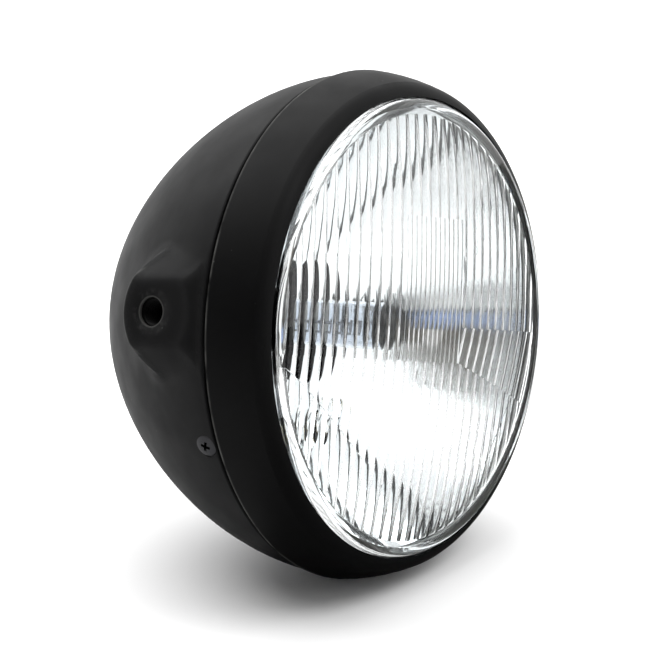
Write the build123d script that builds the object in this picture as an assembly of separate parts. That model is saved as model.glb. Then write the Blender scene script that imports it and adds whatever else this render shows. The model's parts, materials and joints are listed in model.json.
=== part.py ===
from build123d import *
from math import ceil, cos, degrees, hypot, radians, sin, sqrt, tan
import os

# Round motorcycle headlight with two side mounts: a pressed steel shell, a trim rim that holds a
# fluted glass and reflector unit, and a two-filament bulb with its rubber boot.
# Millimetres. +Z is up, the lens faces -Y and +X is on the viewer's right. The origin is the middle
# of the lamp's box, on the lens axis.

# Driving dimensions: light unit and fluted lens
UNIT_RADIUS = 87.2  # flange shared by the glass and the reflector
LENS_FLANGE = 4.0  # thickness of the glass flange
LENS_SKIRT = 4.2  # glass wall behind the dome
LENS_THICKNESS = 4.2  # glass at the ridges between the flutes
LENS_DOME = 430.0  # radius of the outer dome
LENS_PROUD = 2.0  # edge of the dome ahead of the rim's lip
LENS_SHOULDER = 4.5  # rounding between dome and skirt
LENS_BORDER = 6.2  # plain ring round the fluted field
LENS_PLAY = 0.5  # gap between the skirt and the rim's lip
FLUTE_PITCH = 5.8
FLUTE_DEPTH = 0.55
FINE_PITCH = 2.9
FINE_DEPTH = 0.32
FINE_LEFT = -14.5  # fine flutes behind the middle of the lens
FINE_RIGHT = 20.3
FINE_TOP = 40.3
BELT_Z = -11.8  # lower edge of the left field, the cut-off of the dipped beam
HORIZON_Z = 1.2
LEFT_TOP = 24.5  # upper edge of the left field
WEDGE_Z = 17.2  # where the upper right wedge starts beside the fine flutes
WEDGE_ANGLE = 10.3
SECTOR_ANGLE = 15.0  # the near side's raised cut-off
LOWER_TOP_LEFT = (-66.0, -21.7)  # corners of the lower field, looking at the lens
LOWER_FOOT_LEFT = (-28.5, -49.0)
LOWER_FOOT_RIGHT = (48.0, -49.0)
LOWER_TOP_RIGHT = (62.0, -24.0)
ZONE_STEP = 0.3  # step in depth from one field to the next

# Driving dimensions: rim
RIM_WALL = 1.2
RIM_DEPTH = 22.0  # lip to seam
LIP_COVER = 3.5  # how far the lip reaches in over the flange
LIP_ROOM = 4.4  # front of the lip's sheet to the glass flange, less the sheet
NOSE_SETBACK = 4.6  # end of the nose arc behind the lip
SIDE_ARC = 66.4  # radius of the rim's side, seen in section
SIDE_CREST = 6.4  # crest of that arc behind the seam
UNIT_CLEARANCE = 0.8
RIM_EDGE = 0.5  # rounding of the rear edge
GASKET_WIDTH = 1.9
GASKET_DEPTH = 3.3

# Driving dimensions: shell
SHELL_WALL = 1.2
SHELL_DEPTH = 94.5  # seam to the flat land at the back
SEAM_GAP = 2.0  # open groove between rim and shell
BOWL_STEP = 1.1  # bowl below the rim's rear edge
BOWL_REACH = 47.8  # handles and slope of the bowl's curve
BOWL_SLOPE = 0.074
BOWL_BACK = 24.3
BOWL_TURN = 90.0  # degrees from the bowl's side to its back
LAND_RADIUS = 17.0
SPIGOT_LENGTH = 7.0  # the shell's mouth inside the rim
SPIGOT_CLEARANCE = 0.4
JOGGLE_RADIUS = 0.8
MOUNT_BEHIND = 24.9  # tilt axis behind the seam
PAD_PROUD = 0.2  # pad face outside the bowl's mouth
PAD_NOSE = 21.5  # radius of the pad's round back
PAD_BACK = 13.0  # tilt axis to the back of the pad's face
PAD_DRAFT = 17.0  # degrees
PAD_HALF = 12.0  # tilt axis to the upper and the lower edge of the pad's face
PAD_FRONT_FLANK = 18.0  # slope of the flanks above and below the face, in degrees at the mouth
PAD_REAR_FLANK = 53.0  # and a nose radius behind the face
PAD_CREASE = 5.0  # rounding from the face to the flanks
PAD_FADE = 9.0  # length behind the mouth in which the pad comes out of the bowl
PAD_EDGE = 1.6
PAD_ROOT = 4.0
PAD_HOLE = 5.2
NUT_BORE = 4.3  # core of an M10 thread
NUT_FLANGE_RADIUS = 10.0
NUT_FLANGE = 1.6
NUT_ACROSS = 16.0
NUT_HEIGHT = 8.0

# Driving dimensions: rim screws and the ring that carries their nuts
SCREW_BEHIND = 7.2  # screw axis behind the seam
SCREW_DROP = 30.2  # degrees below the level of the side mounts
SCREW_HEAD = 4.0
SCREW_SHANK = 1.95
SCREW_DOME = 0.7
SCREW_LENGTH = 11.0
SCREW_SLOT = 1.1  # width of the cross recess
SCREW_SLOT_SPAN = 4.4
SCREW_SLOT_DEPTH = 1.5
DIMPLE_RADIUS = 4.6
SCREW_CLEARANCE = 0.3
TONGUE_WIDTH = 13.0
TONGUE_PAST_SCREW = 6.5
CAPTIVE_ACROSS = 7.0
CAPTIVE_HEIGHT = 3.2
RETAINER_WALL = 1.0
RETAINER_FRONT = 14.5  # front of the ring ahead of the seam
RETAINER_REAR = 3.5
RETAINER_LIP = 5.8
CLIP_COUNT = 6
CLIP_WIRE = 1.0
CLIP_SPAN = 36.0
CLIP_BEND = 2.4

# Driving dimensions: reflector
FOCAL_LENGTH = 28.0
REFLECTOR_WALL = 0.9
SEAL_THICKNESS = 0.8
SEAL_WIDTH = 3.0
NECK_RADIUS = 22.0
MOUTH_STEP = 0.5  # the parabola's edge outside the inner face of the glass wall

# Driving dimensions: bulb, its holder, spring and boot
FOCUS_TO_FLANGE = 29.0
BULB_FLANGE_RADIUS = 21.5
BULB_FLANGE = 1.0
HOLDER_BORE = 19.2
HOLDER_WALL = 1.2
HOLDER_COLLAR = 5.0
HOLDER_SKIRT = 2.4
HOLDER_TAB = 4.0
TAB_SPREAD = 14.0  # degrees of the collar that each tab takes
TAB_ANGLES = (30, 150, 250, 290)
FERRULE_WALL = 0.8
FERRULE_LENGTH = 14.0
LOCATING_WALL = 1.0
LOCATING_LENGTH = 3.6
GLASS_RADIUS = 8.5
GLASS_WALL = 1.0
BULB_REACH = 58.0  # flange to the tip of the glass
CAP_RADIUS = 13.0
CAP_LENGTH = 7.0
PLUG_LENGTH = 9.0
SOCKET_DEPTH = 6.0  # glass held inside the ferrule
MAIN_BEHIND = 3.0  # main filament behind the focus
DIPPED_LIFT = 0.8
COIL_RADIUS = 0.7
COIL_LENGTH = 5.4
POST_RADIUS = 0.45
POST_OFFSET = 4.2
SHIELD_RADIUS = 3.0
SHIELD_WALL = 0.4
BLADE_WIDTH = 8.0
BLADE_THICKNESS = 0.8
BLADE_LENGTH = 11.0
BLADE_OFFSET = 8.0
SPRING_WIRE = 0.7
SPRING_RADIUS = 20.0
SPRING_BEND = 3.0
SPRING_CORNERS = (110, 150, 210, 250, 290, 330, 390, 430)  # degrees, each second one at a tab
BOOT_WALL = 2.0
BOOT_HUB = 1.0
BOOT_EDGE = 0.9

# Driving dimensions: pilot light and cable grommet
PILOT_OFFSET = 38.0  # pilot light below the lens axis
PILOT_PLUG = 6.4
PILOT_FLANGE_RADIUS = 8.6
PILOT_FLANGE = 2.0
PILOT_BODY = 9.0
PILOT_BASE_RADIUS = 4.5
PILOT_GLASS_RADIUS = 4.2
PILOT_GLASS_LENGTH = 13.0
PILOT_BASE_AHEAD = 3.0
PILOT_END = 1.5
GROMMET_HOLE = 11.0
GROMMET_BORE = 7.0
GROMMET_FLANGE_RADIUS = 14.5
GROMMET_FLANGE = 3.0

# Driving dimensions: small clearances
FIT = 0.05  # parts that are pressed, welded or clamped together
SLIP = 0.2  # parts that slide into each other

# Places along the lens axis, from the lamp's whole depth
OPENING_RADIUS = UNIT_RADIUS - LIP_COVER
LENS_RADIUS = OPENING_RADIUS - LENS_PLAY
FLUTE_RADIUS = LENS_RADIUS - LENS_BORDER
LENS_SAG = LENS_DOME - sqrt(LENS_DOME**2 - LENS_RADIUS**2)
FRONT_REACH = RIM_DEPTH + LENS_PROUD + LENS_SAG
BACK_REACH = SHELL_DEPTH + FIT + GROMMET_FLANGE
SEAM_Y = (FRONT_REACH - BACK_REACH) / 2
LIP_Y = SEAM_Y - RIM_DEPTH
EDGE_Y = LIP_Y - LENS_PROUD
CROWN_Y = EDGE_Y - LENS_SAG
DOME_CENTRE_Y = CROWN_Y + LENS_DOME
FLANGE_FRONT_Y = LIP_Y + RIM_WALL + LIP_ROOM
FLANGE_REAR_Y = FLANGE_FRONT_Y + LENS_FLANGE
SEAT_Y = FLANGE_REAR_Y + SEAL_THICKNESS + 2 * FIT
MOUNT_Y = SEAM_Y + MOUNT_BEHIND
SCREW_Y = SEAM_Y + SCREW_BEHIND
LAND_Y = SEAM_Y + SHELL_DEPTH
MOUTH_Y = SEAM_Y + SEAM_GAP

# The rim's side is one arc in section, and the nose is a second arc tangent to it
CREST_Y = SEAM_Y + SIDE_CREST
SIDE_CENTRE = (
    UNIT_RADIUS
    + UNIT_CLEARANCE
    - sqrt((SIDE_ARC - RIM_WALL) ** 2 - (FLANGE_FRONT_Y - CREST_Y) ** 2)
)


def rim_side(y, depth=0.0):
    """Radius of the rim's side at a place along the axis, the given depth below its surface."""
    return SIDE_CENTRE + sqrt((SIDE_ARC - depth) ** 2 - (y - CREST_Y) ** 2)


RIM_RADIUS = rim_side(SEAM_Y)
NOSE_Y = LIP_Y + NOSE_SETBACK
NOSE_RADIUS = rim_side(NOSE_Y)
NOSE_TANGENT = ((CREST_Y - NOSE_Y) / SIDE_ARC, (NOSE_RADIUS - SIDE_CENTRE) / SIDE_ARC)
BOWL_RADIUS = RIM_RADIUS - BOWL_STEP
PAD_X = BOWL_RADIUS + PAD_PROUD
SPIGOT_FRONT_Y = SEAM_Y - SPIGOT_LENGTH
SPIGOT_RADIUS = rim_side(SPIGOT_FRONT_Y, RIM_WALL) - SPIGOT_CLEARANCE
RETAINER_REAR_Y = SEAM_Y - RETAINER_REAR
RETAINER_RADIUS = rim_side(SEAM_Y - RETAINER_FRONT, RIM_WALL) - FIT
SCREW_ANGLES = (180 + SCREW_DROP, -SCREW_DROP)
SCREW_RADIUS = BOWL_RADIUS - BOWL_SLOPE * (SCREW_Y - MOUTH_Y)
SCREW_HOLE = SCREW_SHANK + SCREW_CLEARANCE
DIMPLE_DEPTH = DIMPLE_RADIUS - SCREW_HOLE
TONGUE_RADIUS = SCREW_RADIUS - DIMPLE_DEPTH - SHELL_WALL - SLIP

# The reflector's parabola runs from its mouth at the seat to the vertex, and the bulb's flange
# lies behind the focus
MOUTH_RADIUS = LENS_RADIUS - LENS_SKIRT + MOUTH_STEP
VERTEX_Y = SEAT_Y + MOUTH_RADIUS**2 / (4 * FOCAL_LENGTH)
FOCUS_Y = VERTEX_Y - FOCAL_LENGTH
REF_Y = FOCUS_Y + FOCUS_TO_FLANGE
REFLECTOR_SHIFT = REFLECTOR_WALL / sin(radians(45))
HOLDER_RADIUS = NECK_RADIUS + REFLECTOR_WALL + FIT + HOLDER_WALL
SEAT_RADIUS = HOLDER_BORE - SLIP
BULB_REAR_Y = REF_Y + FIT + BULB_FLANGE
CAP_REAR_Y = BULB_REAR_Y + FIT + CAP_LENGTH
GLASS_REAR_Y = REF_Y - SOCKET_DEPTH
PLUG_FRONT_Y = GLASS_REAR_Y - PLUG_LENGTH
MAIN_Y = FOCUS_Y + MAIN_BEHIND
DIPPED_REAR_Y = MAIN_Y - COIL_LENGTH / 2 - 2 * POST_RADIUS - 4 * FIT
PILOT_REAR = REFLECTOR_SHIFT * 2 * FOCAL_LENGTH / hypot(2 * FOCAL_LENGTH, PILOT_OFFSET) + FIT
HOLDER_FRONT_Y = REF_Y - HOLDER_WALL


def turned(*outline):
    """Solid of revolution about the lens axis from a closed outline of (radius, y) edges."""
    return revolve(make_face(Wire(list(outline))), Axis.Y)


def ring(inner, outer, front, rear):
    """Plain ring about the lens axis."""
    corners = [(inner, front), (outer, front), (outer, rear), (inner, rear)]
    return turned(*Polyline(*corners, close=True).edges())


def sheet(path, wall):
    """Solid of revolution of sheet metal, with its wall on the inside of the line drawn."""
    return revolve(make_face(offset(path, amount=wall, side=Side.LEFT, closed=True)), Axis.Y)


def bent_wire(points, bend, radius):
    """Round wire along straight runs with rounded corners."""
    path = FilletPolyline(*points, radius=bend)
    return sweep(Plane(path @ 0, z_dir=path % 0) * Circle(radius), path)


def stand_at(seat):
    """Location that stands a shape turned about Y on a seat: a point, a side and an axis."""
    point, side, axis = seat
    return Plane(point, x_dir=side, z_dir=Vector(side).cross(Vector(axis))).location


def screw_seat(angle):
    """Place of a rim screw on the shell's surface, its axis pointing out."""
    out = (cos(radians(angle)), 0, sin(radians(angle)))
    return (SCREW_RADIUS * out[0], SCREW_Y, SCREW_RADIUS * out[2]), (0, 1, 0), out


def around(shape, angle):
    """The shape turned about the lens axis, counted from +X towards +Z."""
    return Rot(0, -angle, 0) * shape


# Rim


def rim_section():
    """Outer line of the rim from its rear edge to the lip."""
    side = TangentArc((NOSE_RADIUS, NOSE_Y), (RIM_RADIUS, SEAM_Y), tangent=NOSE_TANGENT)
    back = (-NOSE_TANGENT[0], -NOSE_TANGENT[1])
    nose = TangentArc((NOSE_RADIUS, NOSE_Y), (OPENING_RADIUS, LIP_Y), tangent=back)
    return Wire([side.edge(), nose.edge()])


def make_rim():
    rim = sheet(rim_section(), RIM_WALL)
    rear_edge = rim.edges().sort_by(Axis.Y)[-2:].sort_by(SortBy.LENGTH)[-1]
    return fillet(rear_edge, RIM_EDGE)


def make_gasket():
    inner = LENS_RADIUS + FIT
    return ring(inner, inner + GASKET_WIDTH, FLANGE_FRONT_Y - GASKET_DEPTH, FLANGE_FRONT_Y - FIT)


# Fluted lens


def lens_blank():
    """The pressed glass before its inside is formed: dome, skirt and flange."""
    crown = (0, CROWN_Y)
    edge = (LENS_RADIUS, EDGE_Y)
    half = LENS_RADIUS / 2
    dome = ThreePointArc(crown, (half, DOME_CENTRE_Y - sqrt(LENS_DOME**2 - half**2)), edge)
    back = Polyline(
        edge,
        (LENS_RADIUS, FLANGE_FRONT_Y),
        (UNIT_RADIUS, FLANGE_FRONT_Y),
        (UNIT_RADIUS, FLANGE_REAR_Y),
        (0, FLANGE_REAR_Y),
        crown,
    )
    section = make_face(Wire([dome.edge(), *back.edges()]))
    corner = section.vertices().sort_by_distance((LENS_RADIUS, EDGE_Y, 0))[0]
    return revolve(fillet(corner, LENS_SHOULDER), Axis.Y)


def dome_y(x, drop):
    """Place along the axis of a dome that lies the given depth below the outer one."""
    return DOME_CENTRE_Y - sqrt((LENS_DOME - drop) ** 2 - x**2)


def lens_fields():
    """Outlines of the optical fields, looking at the lens, with the flutes of each."""
    reach = LENS_RADIUS
    disc = Circle(FLUTE_RADIUS)
    sector_end = BELT_Z - (reach - FINE_RIGHT) * tan(radians(SECTOR_ANGLE))
    wedge_end = WEDGE_Z + (reach - FINE_RIGHT) * tan(radians(WEDGE_ANGLE))
    cut_off = [(-reach, BELT_Z), (FINE_RIGHT, BELT_Z), (reach, sector_end)]

    def field(*corners):
        return make_face(Polyline(*corners, close=True)) & disc

    below = field(*cut_off, (reach, -reach), (-reach, -reach))
    lower = below & field(
        (-reach, BELT_Z),
        (reach, BELT_Z),
        LOWER_TOP_RIGHT,
        LOWER_FOOT_RIGHT,
        LOWER_FOOT_LEFT,
        LOWER_TOP_LEFT,
    )
    left = field(
        (-reach, BELT_Z), (FINE_LEFT, BELT_Z), (FINE_LEFT, LEFT_TOP), (-reach, LEFT_TOP)
    )
    fine = field(
        (FINE_LEFT, BELT_Z), (FINE_RIGHT, BELT_Z), (FINE_RIGHT, FINE_TOP), (FINE_LEFT, FINE_TOP)
    )
    sector = field(
        (FINE_RIGHT, HORIZON_Z), (reach, HORIZON_Z), (reach, sector_end), (FINE_RIGHT, BELT_Z)
    )
    wedge = field(
        (FINE_RIGHT, HORIZON_Z), (reach, HORIZON_Z), (reach, wedge_end), (FINE_RIGHT, WEDGE_Z)
    )
    upper = disc - below - left - fine - sector - wedge
    return [
        (upper, FLUTE_PITCH, FLUTE_DEPTH, 0, 0),
        (left, FLUTE_PITCH, FLUTE_DEPTH, ZONE_STEP, 0),
        (fine, FINE_PITCH, FINE_DEPTH, ZONE_STEP, 0),
        (wedge, FLUTE_PITCH, FLUTE_DEPTH, ZONE_STEP, 0),
        (sector, FLUTE_PITCH, FLUTE_DEPTH, 0, SECTOR_ANGLE),
        (lower, FLUTE_PITCH, FLUTE_DEPTH, 2 * ZONE_STEP, 0),
        (below - lower, FLUTE_PITCH, FLUTE_DEPTH, 0, 0),
    ]


def flute_press(outline, pitch, depth, step, lean):
    """The plunger that presses one field: a row of round ribs swept about the dome's centre."""
    drop = LENS_THICKNESS + step
    count = ceil(LENS_RADIUS / pitch)
    ridges = [(i * pitch, dome_y(i * pitch, drop)) for i in range(-count, count + 1)]
    flutes = [
        ThreePointArc(
            start, ((start[0] + end[0]) / 2, dome_y((start[0] + end[0]) / 2, drop) - depth), end
        ).edge()
        for start, end in zip(ridges, ridges[1:])
    ]
    behind = FLANGE_REAR_Y + LENS_FLANGE
    back = Polyline(
        ridges[-1], (ridges[-1][0], behind), (ridges[0][0], behind), ridges[0]
    ).edges()
    row = make_face(Wire([*flutes, *back]))
    hinge = Axis((0, DOME_CENTRE_Y, 0), (1, 0, 0))
    half_turn = degrees(LENS_RADIUS / (DOME_CENTRE_Y - behind))
    drum = revolve(row.rotate(hinge, -half_turn), hinge, 2 * half_turn)
    column = extrude(Plane.XZ * outline, amount=LENS_DOME, both=True)
    return (Rot(0, lean, 0) * drum) & column


def make_lens():
    field_y = dome_y(FLUTE_RADIUS, LENS_THICKNESS + 2 * ZONE_STEP)
    inside = ring(0, LENS_RADIUS - LENS_SKIRT, field_y, FLANGE_REAR_Y)
    return lens_blank() - inside - [flute_press(*field) for field in lens_fields()]


def make_seal():
    inner = MOUTH_RADIUS + LENS_SKIRT / 2
    return ring(inner, inner + SEAL_WIDTH, FLANGE_REAR_Y + FIT, SEAT_Y - FIT)


# Reflector


def pilot_seat():
    """Place of the pilot light on the reflector, and the way out through the back."""
    y = VERTEX_Y - PILOT_OFFSET**2 / (4 * FOCAL_LENGTH)
    return (0, y, -PILOT_OFFSET), (1, 0, 0), (0, 2 * FOCAL_LENGTH, -PILOT_OFFSET)


def make_reflector():
    """Pressed dish: flange, parabola and the short neck that carries the bulb holder."""
    neck_y = VERTEX_Y - NECK_RADIUS**2 / (4 * FOCAL_LENGTH)

    def parabola(shift):
        # A parabola is a quadratic curve whose middle handle is where its end tangents cross
        handle_r = (MOUTH_RADIUS + NECK_RADIUS) / 2
        handle_y = VERTEX_Y - MOUTH_RADIUS * NECK_RADIUS / (4 * FOCAL_LENGTH)
        return Bezier(
            (MOUTH_RADIUS, SEAT_Y + shift), (handle_r, handle_y + shift), (NECK_RADIUS, neck_y + shift)
        ).edge()

    wall = REFLECTOR_WALL
    front = parabola(0)
    rear = parabola(REFLECTOR_SHIFT)
    dish = turned(front, Line(front @ 1, rear @ 1), rear, Line(rear @ 0, front @ 0))
    neck = ring(NECK_RADIUS, NECK_RADIUS + wall, neck_y, HOLDER_FRONT_Y - FIT)
    flange = ring(MOUTH_RADIUS, UNIT_RADIUS, SEAT_Y, SEAT_Y + wall)
    pilot_hole = stand_at(pilot_seat()) * ring(0, PILOT_PLUG + SLIP, -PILOT_BODY, PILOT_BODY)
    return dish + neck + flange - pilot_hole


# Retaining ring inside the rim, its spring clips, and the screws that hold rim and shell


def make_retainer():
    """Pressed ring welded inside the rim: a turned-in lip for the clips and two screw tongues."""
    lip_front = RETAINER_REAR_Y - RETAINER_WALL
    inner = RETAINER_RADIUS - RETAINER_WALL
    band = ring(inner, RETAINER_RADIUS, SEAM_Y - RETAINER_FRONT, RETAINER_REAR_Y)
    lip = ring(inner - RETAINER_LIP, RETAINER_RADIUS, lip_front, RETAINER_REAR_Y)
    length = SCREW_Y + TONGUE_PAST_SCREW - lip_front
    middle = Pos(TONGUE_RADIUS - RETAINER_WALL / 2, lip_front + length / 2)
    spread = degrees(TONGUE_WIDTH / TONGUE_RADIUS)
    tongue = revolve(middle * Rectangle(RETAINER_WALL, length), Axis.Y, spread)
    tongues = [around(tongue, angle + spread / 2) for angle in SCREW_ANGLES]
    holes = [
        stand_at(screw_seat(angle)) * ring(0, SCREW_HOLE, -SCREW_LENGTH, 0)
        for angle in SCREW_ANGLES
    ]
    return band + lip + tongues - holes


def make_clips():
    """Spring-wire clips bent to a W, pressed between the reflector's flange and the ring's lip."""
    low = SEAT_Y + REFLECTOR_WALL + FIT + CLIP_WIRE
    high = RETAINER_REAR_Y - RETAINER_WALL - FIT - CLIP_WIRE
    outermost = RETAINER_RADIUS - RETAINER_WALL - SLIP - CLIP_WIRE
    radius = sqrt(outermost**2 - (CLIP_SPAN / 2) ** 2)
    points = [(radius, low if i % 2 else high, (i / 4 - 0.5) * CLIP_SPAN) for i in range(5)]
    clip = bent_wire(points, CLIP_BEND, CLIP_WIRE)
    return Compound([around(clip, i * 360 / CLIP_COUNT).solid() for i in range(CLIP_COUNT)])


def make_screws():
    """Countersunk cross-recess screws, two of them, flush with the shell."""
    rim_y = SCREW_HEAD - DIMPLE_RADIUS + 2 * FIT
    shoulder_y = rim_y - SCREW_HEAD + SCREW_SHANK
    top_y = rim_y + SCREW_DOME
    side = Polyline(
        (0, -SCREW_LENGTH),
        (SCREW_SHANK, -SCREW_LENGTH),
        (SCREW_SHANK, shoulder_y),
        (SCREW_HEAD, rim_y),
    )
    dome = TangentArc((0, top_y), (SCREW_HEAD, rim_y), tangent=(1, 0))
    screw = turned(*side.edges(), dome.edge(), Line((0, top_y), side @ 0).edge())
    slot = Pos(0, top_y, 0) * Box(SCREW_SLOT_SPAN, 2 * SCREW_SLOT_DEPTH, SCREW_SLOT)
    screw -= [slot, Rot(0, 90, 0) * slot]
    return Compound([(stand_at(screw_seat(angle)) * screw).solid() for angle in SCREW_ANGLES])


def make_captive_nuts():
    top = TONGUE_RADIUS - RETAINER_WALL - SLIP - SCREW_RADIUS
    nut = extrude(Plane.XZ * RegularPolygon(CAPTIVE_ACROSS / 2, 6, major_radius=False), CAPTIVE_HEIGHT)
    nut = Pos(0, top, 0) * nut - ring(0, SCREW_SHANK + FIT, -SCREW_LENGTH, 0)
    return Compound([(stand_at(screw_seat(angle)) * nut).solid() for angle in SCREW_ANGLES])


# Shell


def bowl_solid(inset):
    """The bowl and its spigot as one solid, the given depth below the shell's surface."""
    mouth = (BOWL_RADIUS - inset, MOUTH_Y + inset)
    back = (LAND_RADIUS, LAND_Y - inset)
    # The handles close in with the wall, so that it keeps its thickness round the bend
    turn = inset * tan(radians(BOWL_TURN / 4))
    handle_front = (mouth[0] - BOWL_SLOPE * BOWL_REACH, mouth[1] + BOWL_REACH - turn)
    handle_back = (LAND_RADIUS + BOWL_BACK - turn, back[1])
    bowl = Bezier(mouth, handle_front, handle_back, back)
    spigot = SPIGOT_RADIUS - inset
    front = Polyline(
        (0, back[1]), (0, SPIGOT_FRONT_Y), (spigot, SPIGOT_FRONT_Y), (spigot, mouth[1]), mouth
    )
    return turned(*front.edges(), bowl.edge(), Line(back, (0, back[1])).edge())


def pad_section(y, inset, flank):
    """Section of the left pad across the lens axis: flat face, rounded creases, sloped flanks."""
    half = PAD_HALF - inset * tan(flank / 2)
    foot = half + PAD_NOSE
    face_x = inset - PAD_X
    foot_x = face_x + PAD_NOSE * tan(flank)
    upper = [(0, foot), (foot_x, foot), (face_x, half)]
    lower = [(x, -z) for x, z in reversed(upper)]
    section = make_face(Polyline(*upper, *lower, close=True))
    if inset == 0:
        section = fillet(section.vertices().group_by(Axis.X)[0], PAD_CREASE)
    return Plane.XZ.offset(-y) * section


def pad_solid(inset):
    """The left side's raised mounting pad, with a round back, whose flanks sink into the bowl."""
    nose = PAD_NOSE - inset * tan(radians(90 - PAD_DRAFT) / 2)
    rear_y = MOUNT_Y + PAD_BACK
    front_y = MOUTH_Y + JOGGLE_RADIUS + inset
    face = Plane((inset - PAD_X, rear_y - PAD_NOSE, 0), x_dir=(0, 1, 0), z_dir=(1, 0, 0))
    outline = Circle(nose) + Pos(-MOUNT_BEHIND / 2, 0) * Rectangle(MOUNT_BEHIND, 2 * nose)
    block = extrude(face * outline, amount=PAD_X / 2, taper=-PAD_DRAFT)
    front = pad_section(front_y, inset, radians(PAD_FRONT_FLANK))
    rear = pad_section(rear_y + PAD_NOSE, inset, radians(PAD_REAR_FLANK))
    ridge = loft([front, rear], ruled=True)
    pad = block & ridge
    if inset == 0:
        brow = new_edges(block, ridge, combined=pad).filter_by_position(Axis.Y, front_y + FIT, PAD_X)
        pad = fillet(brow, PAD_EDGE)
    reach = PAD_X + JOGGLE_RADIUS - inset
    fade = Polyline(
        (0, front_y),
        (BOWL_RADIUS - JOGGLE_RADIUS - inset, front_y),
        (reach, front_y + PAD_FADE),
        (reach, LAND_Y),
        (0, LAND_Y),
        close=True,
    )
    return pad & turned(*fade.edges())


def make_shell():
    """Deep-drawn bowl with two side pads, dimples for the rim screws and a cable hole."""
    bowl = bowl_solid(0)
    mouth = bowl.edges().filter_by_position(Axis.Y, MOUTH_Y - FIT, MOUTH_Y + FIT)
    bowl = fillet(mouth.sort_by(SortBy.LENGTH)[-1], JOGGLE_RADIUS)
    pad = pad_solid(0)
    pads = [pad, mirror(pad, Plane.YZ)]
    outer = bowl + pads
    roots = new_edges(bowl, *pads, combined=outer)
    roots = roots.filter_by(lambda edge: edge.bounding_box().max.Y > MOUTH_Y + PAD_FADE)
    outer = fillet(roots, PAD_ROOT)
    inner_pad = pad_solid(SHELL_WALL)
    inner = bowl_solid(SHELL_WALL) + inner_pad + mirror(inner_pad, Plane.YZ)
    cup = turned(
        *Polyline(
            (0, 0),
            (0, -DIMPLE_DEPTH - SHELL_WALL),
            (SCREW_HOLE + SHELL_WALL, -DIMPLE_DEPTH - SHELL_WALL),
            (DIMPLE_RADIUS + 2 * SHELL_WALL, 0),
            close=True,
        ).edges()
    )
    recess = turned(
        *Polyline(
            (0, DIMPLE_RADIUS),
            (0, -SCREW_LENGTH),
            (SCREW_HOLE, -SCREW_LENGTH),
            (SCREW_HOLE, -DIMPLE_DEPTH),
            (DIMPLE_RADIUS, 0),
            (DIMPLE_RADIUS, DIMPLE_RADIUS),
            close=True,
        ).edges()
    )
    places = [stand_at(screw_seat(angle)) for angle in SCREW_ANGLES]
    inner -= [place * cup for place in places]
    recesses = [place * recess for place in places]
    side_holes = Pos(0, MOUNT_Y, 0) * Rot(0, 90, 0) * Cylinder(PAD_HOLE, 3 * PAD_X)
    cable_hole = ring(0, GROMMET_HOLE, LAND_Y - LAND_RADIUS, LAND_Y + LAND_RADIUS)
    return outer - inner - recesses - side_holes - cable_hole


def make_mount_nuts():
    """Flanged nuts welded behind the two pads."""
    hexagon = Plane.XZ * RegularPolygon(NUT_ACROSS / 2, 6, major_radius=False)
    nut = ring(0, NUT_FLANGE_RADIUS, -NUT_FLANGE, 0) + extrude(hexagon, NUT_FLANGE + NUT_HEIGHT)
    nut -= ring(0, NUT_BORE, -NUT_FLANGE - NUT_HEIGHT, 0)
    seat = PAD_X - SHELL_WALL - FIT
    places = [
        Plane((side * seat, MOUNT_Y, 0), x_dir=(0, 1, 0), z_dir=(0, 0, -side)) for side in (-1, 1)
    ]
    return Compound([(place.location * nut).solid() for place in places])


def make_grommet():
    outside = ring(GROMMET_BORE, GROMMET_FLANGE_RADIUS, LAND_Y + FIT, LAND_Y + FIT + GROMMET_FLANGE)
    waist = ring(GROMMET_BORE, GROMMET_HOLE - SLIP, LAND_Y - SHELL_WALL - 2 * FIT, LAND_Y + 2 * FIT)
    inside_rear = LAND_Y - SHELL_WALL - FIT
    inside = ring(GROMMET_BORE, GROMMET_HOLE + 2 * SHELL_WALL, inside_rear - GROMMET_FLANGE, inside_rear)
    return outside + waist + inside


# Bulb


def make_bulb_holder():
    """Pressed holder crimped on the reflector's neck, with three tabs over the bulb spring."""
    disc = ring(HOLDER_BORE, HOLDER_RADIUS, HOLDER_FRONT_Y, REF_Y)
    inner = HOLDER_RADIUS - HOLDER_WALL
    skirt = ring(inner, HOLDER_RADIUS, HOLDER_FRONT_Y - HOLDER_SKIRT, REF_Y)
    collar = ring(inner, HOLDER_RADIUS, HOLDER_FRONT_Y, REF_Y + HOLDER_COLLAR)
    tab_front = BULB_REAR_Y + 2 * SPRING_WIRE + 2 * FIT
    middle = Pos(HOLDER_RADIUS - HOLDER_TAB / 2, tab_front + HOLDER_WALL / 2)
    tab = revolve(middle * Rectangle(HOLDER_TAB, HOLDER_WALL), Axis.Y, TAB_SPREAD)
    return disc + skirt + collar + [around(tab, angle + TAB_SPREAD / 2) for angle in TAB_ANGLES]


def make_bulb_collar():
    """The bulb's metal flange, locating ring and ferrule."""
    inner = GLASS_RADIUS + SLIP
    flange = ring(inner, BULB_FLANGE_RADIUS, REF_Y + FIT, BULB_REAR_Y)
    locating = ring(SEAT_RADIUS - LOCATING_WALL, SEAT_RADIUS, REF_Y - LOCATING_LENGTH, BULB_REAR_Y)
    ferrule = ring(inner, inner + FERRULE_WALL, REF_Y - FERRULE_LENGTH, BULB_REAR_Y)
    return flange + locating + ferrule


def make_bulb_cap():
    """Moulded cap behind the flange, with the stem that plugs the glass."""
    cap = ring(0, CAP_RADIUS, BULB_REAR_Y + FIT, CAP_REAR_Y)
    stem = ring(0, GLASS_RADIUS, GLASS_REAR_Y, CAP_REAR_Y)
    plug = ring(0, GLASS_RADIUS - GLASS_WALL - SLIP, PLUG_FRONT_Y, CAP_REAR_Y)
    return cap + stem + plug


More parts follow.
